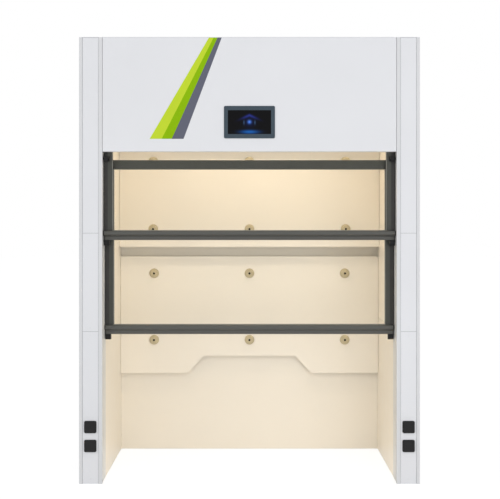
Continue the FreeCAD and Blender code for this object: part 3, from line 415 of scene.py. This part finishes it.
STEEL = extruded("screw_steel", srgb(0.74, 0.75, 0.76), 0.9, (1, 1, 1), (0.25, 0.4))

SLOT_MATERIALS = {
    "painted_steel": painted("painted_steel", srgb(0.885, 0.89, 0.905)),
    "chamber_lining": laminate("chamber_lining", srgb(0.965, 0.936, 0.88)),
    "sash_frame": extruded("sash_frame", srgb(0.322, 0.322, 0.308), 0.2, (0.02, 1, 1)),
    "track": extruded("track", srgb(0.90, 0.90, 0.89), 0.1, (1, 1, 0.02)),
    "black_plastic": BLACK,
    "rubber": RUBBER,
    "clear_glass": pane("clear_glass", (0.985, 0.98, 0.965, 1.0)),
    "bezel": moulded("bezel", srgb(0.24, 0.29, 0.33), (0.38, 0.5), gloss=0.3),
    "screen": screen_face("screen"),
    "boss_beige": moulded("boss_beige", srgb(0.77, 0.72, 0.59)),
    "frame_steel": galvanised("frame_steel", srgb(0.72, 0.735, 0.745)),
    "cable": stranded("cable", srgb(0.70, 0.70, 0.71)),
    "pulley": moulded("pulley", srgb(0.88, 0.87, 0.84)),
    "weight": cast("weight", srgb(0.26, 0.27, 0.29)),
    "lamp_tube": glowing("lamp_tube", (1.0, 0.86, 0.66, 1.0), 6.0),
    "stripe_print": STRIPE_LIME,
}

# Pieces whose finish differs a little from the rest of their slot; the top rails and stiles get a
# darker copy of the sash frame, a painted shade
NODE_MATERIALS = {
    "front_sash_guides": GUIDE_PLASTIC,
    "rear_sash_guides": GUIDE_PLASTIC,
    "front_sash_top_rail": SHADED_PROFILE,
    "rear_sash_top_rail": SHADED_PROFILE,
    "front_sash_stiles": SHADED_PROFILE,
    "rear_sash_stiles": SHADED_PROFILE,
    "post_left": POST_COAT,
    "post_right": POST_COAT,
}


def dress_nodes():
    """Each CAD node gets the material of its slot."""
    for part in frame["record"]["subparts"]:
        materials = nodes[part["node"]].data.materials
        materials.clear()
        materials.append(SLOT_MATERIALS[part["material_slot"]])
    for node, material in NODE_MATERIALS.items():
        nodes[node].data.materials[0] = material


def dress_stripes():
    """Left, middle and right band of the decal in their own colours."""
    decal = nodes["header_decal"]
    decal.data.materials.append(STRIPE_GREEN)
    decal.data.materials.append(STRIPE_GREY)
    low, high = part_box("header_decal")
    for face in decal.data.polygons:
        share = (high.z - face.center.z) / (high.z - low.z)
        edges = [top + share * (foot - top) for top, foot in STRIPE_EDGES]
        face.material_index = sum(face.center.x > edge for edge in edges)


def shade_boss_holes():
    """The insides of the bosses' rod holes are painted near black, a painted shade for the depth
    of the holes.
    """
    bosses = nodes["rod_bosses"].data
    bosses.materials.append(HOLE_SHADE)
    axes = [(mount["pos_m"][0], mount["pos_m"][2]) for mount in frame["record"]["mounts"]
            if mount["name"].startswith("rod_hole")]
    for face in bosses.polygons:
        reach = min(math.hypot(face.center.x - x, face.center.z - z) for x, z in axes)
        if reach < BOSS_HOLE_RADIUS:
            face.material_index = 1


def spaced(low, high, count):
    """Equal steps from low to high."""
    return [low + (high - low) * index / (count - 1) for index in range(count)]


def turn(count):
    """The angles of one full turn in equal steps."""
    return [2 * math.pi * index / count for index in range(count)]


def tube_faces(start, rings, sides):
    """Faces between rings of points that follow each other, open at both ends."""
    faces = []
    for ring in range(rings - 1):
        here = start + ring * sides
        there = here + sides
        for index in range(sides):
            after = (index + 1) % sides
            faces.append((here + index, here + after, there + after, there + index))
    return faces


def loop_faces(rings, sides):
    """Faces of a closed profile that goes round a closed loop of rings."""
    faces = []
    for ring in range(rings):
        here = ring * sides
        there = (ring + 1) % rings * sides
        for index in range(sides):
            after = (index + 1) % sides
            faces.append((here + index, there + index, there + after, here + after))
    return faces


def mesh_piece(name, points, faces, material, body, smooth=True):
    """A new piece from points and faces, which rides on a body, if one is given."""
    mesh = bpy.data.meshes.new(name)
    mesh.from_pydata(points, [], faces)
    mesh.validate()
    mesh.materials.append(material)
    if smooth:
        mesh.shade_smooth()
    piece = bpy.data.objects.new(name, mesh)
    bpy.context.scene.collection.objects.link(piece)
    if body:
        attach(piece, body)
    return piece


def facing(place, out, across, up, normal):
    """A point of a small piece that stands on a wall with the given normal."""
    right = Vector((0, 0, 1)).cross(normal) if abs(normal.z) < 0.5 else Vector((1, 0, 0))
    above = normal.cross(right)
    return tuple(Vector(place) + right * across + above * up + normal * out)


def screw_heads(name, places, size, body, material, normal=(0, -1, 0)):
    """Domed screw heads with a hexagon recess, on a wall with the given normal."""
    radius, height = size
    normal = Vector(normal)
    points = []
    faces = []
    for place in places:
        start = len(points)
        for share, rise, hexagonal in SCREW_PROFILE:
            for angle in turn(SCREW_SIDES):
                sector = (angle % (math.pi / 3)) - math.pi / 6
                shape = 1.0 - hexagonal * (1.0 - math.cos(math.pi / 6) / math.cos(sector))
                reach = radius * share * shape
                across, up = reach * math.cos(angle), reach * math.sin(angle)
                points.append(facing(place, height * rise, across, up, normal))
        faces += tube_faces(start, len(SCREW_PROFILE), SCREW_SIDES)
        last = len(points) - SCREW_SIDES
        faces.append([last + index for index in range(SCREW_SIDES)])
        faces.append([start + index for index in reversed(range(SCREW_SIDES))])
    mesh_piece(name, points, faces, material, body, smooth=False)


def frame_bead(name, corners, face_y, rise, body):
    """A silicone bead round a pane, rounded and with mitred corners."""
    x0, x1, z0, z1 = corners
    profile = [(0.0, 0.0)]
    for angle in spaced(0.0, math.pi / 2, BEAD_STEPS):
        profile.append((BEAD_WIDTH * math.cos(angle), rise * math.sin(angle)))
    profile.append((0.0, rise))
    points = []
    for corner_x, corner_z, in_x, in_z in (
        (x0, z0, 1, 1), (x1, z0, -1, 1), (x1, z1, -1, -1), (x0, z1, 1, -1),
    ):
        for inset, out in profile:
            points.append((corner_x + in_x * inset, face_y + out, corner_z + in_z * inset))
    faces = loop_faces(4, len(profile))
    mesh_piece(name, points, faces, SILICONE, body, smooth=False)


def sash_beads(sash):
    """Silicone beads on both faces of a sash's pane."""
    glass_low, glass_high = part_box(sash + "_glass")
    rail_low, rail_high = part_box(sash + "_top_rail")
    handle_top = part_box(sash + "_handle_rail")[1].z
    stile_x = rail_high.x + SASH_WALL
    corners = (-stile_x, stile_x, handle_top, rail_low.z)
    frame_bead(sash + "_bead_front", corners, glass_low.y, -BEAD_WIDTH, sash)
    frame_bead(sash + "_bead_back", corners, glass_high.y, BEAD_WIDTH, sash)


def cover_screws():
    """The small screws that hold the lower and middle covers of the posts."""
    face_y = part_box("post_covers")[0].y
    places = [(side * COVER_SCREW_X, face_y, z) for side in (-1, 1) for z in COVER_SCREW_HEIGHTS]
    coat = SLOT_MATERIALS["painted_steel"]
    screw_heads("cover_screws", places, COVER_SCREW, "cabinet", coat)


def buffer_screws():
    """The screw in the middle of each stop buffer."""
    low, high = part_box("front_sash_buffers")
    z = (low.z + high.z) / 2
    places = [(side * (high.x - BUFFER_SCREW_INSET), low.y, z) for side in (-1, 1)]
    screw_heads("front_sash_buffer_screws", places, BUFFER_SCREW, "front_sash", BLACK)


def border_screws():
    """Screws round the borders of the rear panel and the roof."""
    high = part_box("rear_panel")[1]
    side_x = high.x - BORDER_SCREW_INSET
    column = spaced(REAR_COLUMN_FOOT, high.z - REAR_COLUMN_TOP, REAR_COLUMN_COUNT)
    row = spaced(-REAR_ROW_REACH, REAR_ROW_REACH, REAR_ROW_COUNT)
    places = [(side * side_x, high.y, z) for side in (-1, 1) for z in column]
    places += [(x, high.y, z) for z in (REAR_ROW_FOOT, high.z - REAR_ROW_TOP) for x in row]
    screw_heads(
        "rear_screws", places, BORDER_SCREW, "cabinet", STEEL, (0, 1, 0)
    )
    low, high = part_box("roof_panel")
    side_x = high.x - BORDER_SCREW_INSET
    ends = (low.y + BORDER_SCREW_INSET, high.y - BORDER_SCREW_INSET)
    column = spaced(low.y + ROOF_COLUMN_INSET, high.y - ROOF_COLUMN_INSET, ROOF_COLUMN_COUNT)
    row = spaced(-ROOF_ROW_REACH, ROOF_ROW_REACH, ROOF_ROW_COUNT)
    places = [(side * side_x, y, high.z) for side in (-1, 1) for y in column]
    places += [(x, y, high.z) for y in ends for x in row]
    screw_heads(
        "roof_screws", places, BORDER_SCREW, "cabinet", STEEL, (0, 0, 1)
    )


def turned_piece(name, profile, centre, material):
    """A closed profile of radius and height, turned round an upright line."""
    points = []
    for angle in turn(TURN_STEPS):
        for radius, height in profile:
            x = centre[0] + radius * math.cos(angle)
            points.append((x, centre[1] + radius * math.sin(angle), height))
    faces = loop_faces(TURN_STEPS, len(profile))
    mesh_piece(name, points, faces, material, "cabinet")


def spigot_radius():
    """The spigot's outer radius above the roof, from its mesh."""
    low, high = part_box("exhaust_spigot")
    middle = (low.y + high.y) / 2
    points = [vertex.co for vertex in nodes["exhaust_spigot"].data.vertices]
    rim = [point for point in points if point.z > high.z - RIM_DEPTH]
    return max(math.hypot(point.x, point.y - middle) for point in rim)


def spigot_trim():
    """A rolled bead near the spigot's rim and a sealing ring where it leaves the roof."""
    low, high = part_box("exhaust_spigot")
    centre = (0.0, (low.y + high.y) / 2)
    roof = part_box("roof_panel")[1].z
    radius = spigot_radius()
    bead = []
    for angle in spaced(0.0, math.pi, SPIGOT_BEAD_STEPS):
        reach = radius - SPIGOT_BEAD_SINK + SPIGOT_BEAD_RISE * math.sin(angle)
        height = roof + SPIGOT_BEAD_HEIGHT - SPIGOT_BEAD_HALF * math.cos(angle)
        bead.append((reach, height))
    turned_piece("spigot_bead", bead, centre, SLOT_MATERIALS["frame_steel"])
    ring = [(radius + out, roof + up) for out, up in SPIGOT_SEAL]
    turned_piece("spigot_seal", ring, centre, RUBBER)


def gap_shade_strips():
    """Thin grey strips in the gaps round the covers of the posts, a painted shade that darkens the
    gaps.
    """
    low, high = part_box("post_covers")
    panel_low, panel_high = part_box("socket_panels")
    outer = high.x
    inner = 2 * COVER_SCREW_X - outer
    bars = [
        (outer, outer + STRIP_WIDTH, panel_low.z, high.z),
        (inner - STRIP_WIDTH, inner, panel_low.z, high.z),
    ]
    bars += [(inner, outer, z, z + JOINT_STRIP_WIDTH) for z in (panel_high.z, MIDDLE_JOINT_Z)]
    points = []
    faces = []
    for side in (-1, 1):
        for x0, x1, z0, z1 in bars:
            start = len(points)
            for y in (low.y + STRIP_SINK, high.y):
                for x, z in ((x0, z0), (x1, z0), (x1, z1), (x0, z1)):
                    points.append((side * x, y, z))
            faces += [[start + index for index in quad] for quad in BOX_FACES]
    mesh_piece("cover_gap_shade_strips", points, faces, GAP_SHADE_STRIP, "cabinet", smooth=False)


def edge_band(node, side, name):
    """A band on one side edge of a baffle, which narrows the gap to the side wall."""
    mesh = nodes[node].data
    edge_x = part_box(node)[1].x
    caps = [
        tuple(face.vertices) for face in mesh.polygons
        if face.normal.x * side > SIDEWAYS and abs(face.center.x * side - edge_x) < BORDER_DEPTH
    ]
    used = sorted({index for cap in caps for index in cap})
    place = {index: position for position, index in enumerate(used)}
    count = len(used)
    points = []
    for reach in (edge_x, edge_x + BAND_REACH):
        for index in used:
            corner = mesh.vertices[index].co
            points.append((side * reach, corner.y, corner.z))
    inner = [[place[index] for index in cap] for cap in caps]
    edges = [(first, after) for cap in inner for first, after in zip(cap, cap[1:] + cap[:1])]
    faces = [[count + index for index in cap] for cap in inner]
    faces += [list(reversed(cap)) for cap in inner]
    for first, after in edges:
        if (after, first) not in edges:
            faces.append([count + after, count + first, first, after])
    coat = SLOT_MATERIALS["chamber_lining"]
    mesh_piece(name, points, faces, coat, "cabinet", smooth=False)


def cable_runs(node):
    """Both cables of a sash or its weights, as round tubes in the node's box, which take the
    node's place.
    """
    low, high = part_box(node)
    radius = (high.y - low.y) / 2
    middle = (low.y + high.y) / 2
    points = []
    faces = []
    for side in (-1, 1):
        start = len(points)
        centre_x = side * (high.x - radius)
        for z in spaced(low.z, high.z, CABLE_RINGS):
            for angle in turn(CABLE_SIDES):
                x = centre_x + radius * math.cos(angle)
                points.append((x, middle + radius * math.sin(angle), z))
        faces += tube_faces(start, CABLE_RINGS, CABLE_SIDES)
        last = len(points) - CABLE_SIDES
        faces.append([start + index for index in reversed(range(CABLE_SIDES))])
        faces.append([last + index for index in range(CABLE_SIDES)])
    piece = mesh_piece(node + "_run", points, faces, SLOT_MATERIALS["cable"], None)
    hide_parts(node)
    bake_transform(piece)


def corner_seals():
    """A bead of sealant up both rear corners of the chamber."""
    wall_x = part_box("ceiling_lining")[1].x
    low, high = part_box("rear_lining")
    count = SEAL_STEPS + 1
    points = []
    faces = []
    for side in (-1, 1):
        start = len(points)
        for z in (low.z, high.z):
            points.append((side * wall_x, low.y, z))
            for angle in spaced(0.0, math.pi / 2, SEAL_STEPS):
                x = side * (wall_x - SEAL_RADIUS * math.cos(angle))
                points.append((x, low.y - SEAL_RADIUS * math.sin(angle), z))
        faces += tube_faces(start, 2, count)
        faces.append([start + index for index in range(count)])
        faces.append([start + count + index for index in reversed(range(count))])
    mesh_piece(
        "corner_seals", points, faces, SEALANT, "cabinet", smooth=False
    )


def light_path_mix(tree, hidden, seen):
    """What cameras, mirrors and glass see, apart from what lights the object."""
    path = tree.nodes.new("ShaderNodeLightPath")
    share = path.outputs["Is Camera Ray"]
    for name in ("Is Glossy Ray", "Is Transmission Ray"):
        largest = tree.nodes.new("ShaderNodeMath")
        largest.operation = "MAXIMUM"
        tree.links.new(share, largest.inputs[0])
        tree.links.new(path.outputs[name], largest.inputs[1])
        share = largest.outputs[0]
    mix = tree.nodes.new("ShaderNodeMixShader")
    tree.links.new(share, mix.inputs[0])
    tree.links.new(hidden, mix.inputs[1])
    tree.links.new(seen, mix.inputs[2])
    return mix.outputs[0]


def floor():
    """A wide pale floor that looks white and keeps the object's shadow."""
    mesh = bpy.data.meshes.new("floor")
    corners = ((-1, -1), (1, -1), (1, 1), (-1, 1))
    points = [(x * FLOOR_REACH, y * FLOOR_REACH, 0) for x, y in corners]
    mesh.from_pydata(points, [], [(0, 1, 2, 3)])
    material = bpy.data.materials.new("floor")
    material.use_nodes = True
    tree = material.node_tree
    tree.nodes.clear()
    plain = tree.nodes.new("ShaderNodeBsdfDiffuse")
    plain.inputs["Color"].default_value = FLOOR_COLOUR
    shade = tree.nodes.new("ShaderNodeBsdfDiffuse")
    shade.inputs["Color"].default_value = FLOOR_SHADE
    white = tree.nodes.new("ShaderNodeEmission")
    white.inputs["Strength"].default_value = FLOOR_BRIGHTNESS
    both = tree.nodes.new("ShaderNodeAddShader")
    tree.links.new(shade.outputs[0], both.inputs[0])
    tree.links.new(white.outputs[0], both.inputs[1])
    output = tree.nodes.new("ShaderNodeOutputMaterial")
    mixed = light_path_mix(tree, plain.outputs[0], both.outputs[0])
    tree.links.new(mixed, output.inputs["Surface"])
    mesh.materials.append(material)
    piece = bpy.data.objects.new("floor", mesh)
    bpy.context.scene.collection.objects.link(piece)


def world():
    """White for the camera, mirrors and glass, and a softer light for the object."""
    made = bpy.data.worlds.new("studio")
    bpy.context.scene.world = made
    made.use_nodes = True
    tree = made.node_tree
    tree.nodes.clear()
    light = tree.nodes.new("ShaderNodeBackground")
    light.inputs["Strength"].default_value = WORLD_STRENGTH
    white = tree.nodes.new("ShaderNodeBackground")
    output = tree.nodes.new("ShaderNodeOutputWorld")
    for node in (light, white):
        node.inputs["Color"].default_value = (1, 1, 1, 1)
    mixed = light_path_mix(tree, light.outputs[0], white.outputs[0])
    tree.links.new(mixed, output.inputs["Surface"])


def area_light(name, place, target, size, watts, colour=(1, 1, 1)):
    data = bpy.data.lights.new(name, "AREA")
    data.shape = "RECTANGLE"
    data.size, data.size_y = size
    data.energy = watts
    data.color = colour
    lamp = bpy.data.objects.new(name, data)
    lamp.location = place
    lamp.rotation_euler = (Vector(target) - Vector(place)).to_track_quat("-Z", "Y").to_euler()
    lamp.visible_glossy = False
    bpy.context.scene.collection.objects.link(lamp)


def lights():
    for light in STUDIO_LIGHTS:
        area_light(*light)
    low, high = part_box("lamp_glass")
    middle = (low + high) / 2
    area_light(
        "hood_lamp", (0, middle.y, low.z - LAMP_DROP), (0, middle.y, 0),
        (high.x - low.x - LAMP_MARGIN, LAMP_DEPTH), LAMP_WATTS, LAMP_COLOUR,
    )
    area_light(*FLOOR_GLOW)


def camera():
    data = bpy.data.cameras.new("camera")
    data.sensor_width = SENSOR_MM
    data.lens = FOCAL_MM
    data.shift_x = SHIFT_X
    data.shift_y = SHIFT_Y
    made = bpy.data.objects.new("camera", data)
    made.location = CAMERA_PLACE
    made.rotation_euler = (math.radians(90), 0, 0)
    bpy.context.scene.collection.objects.link(made)
    bpy.context.scene.camera = made


dress_nodes()
dress_stripes()
shade_boss_holes()
for sash_name in ("front_sash", "rear_sash"):
    sash_beads(sash_name)
for node_name in ("upper_baffle", "lower_baffle"):
    edge_band(node_name, -1, node_name + "_band_left")
    edge_band(node_name, 1, node_name + "_band_right")
for node_name, body_name in CABLE_BODIES:
    cable_runs(node_name)
cover_screws()
buffer_screws()
border_screws()
spigot_trim()
gap_shade_strips()
corner_seals()
floor()
world()
lights()
camera()
bpy.context.scene.view_settings.view_transform = "Standard"
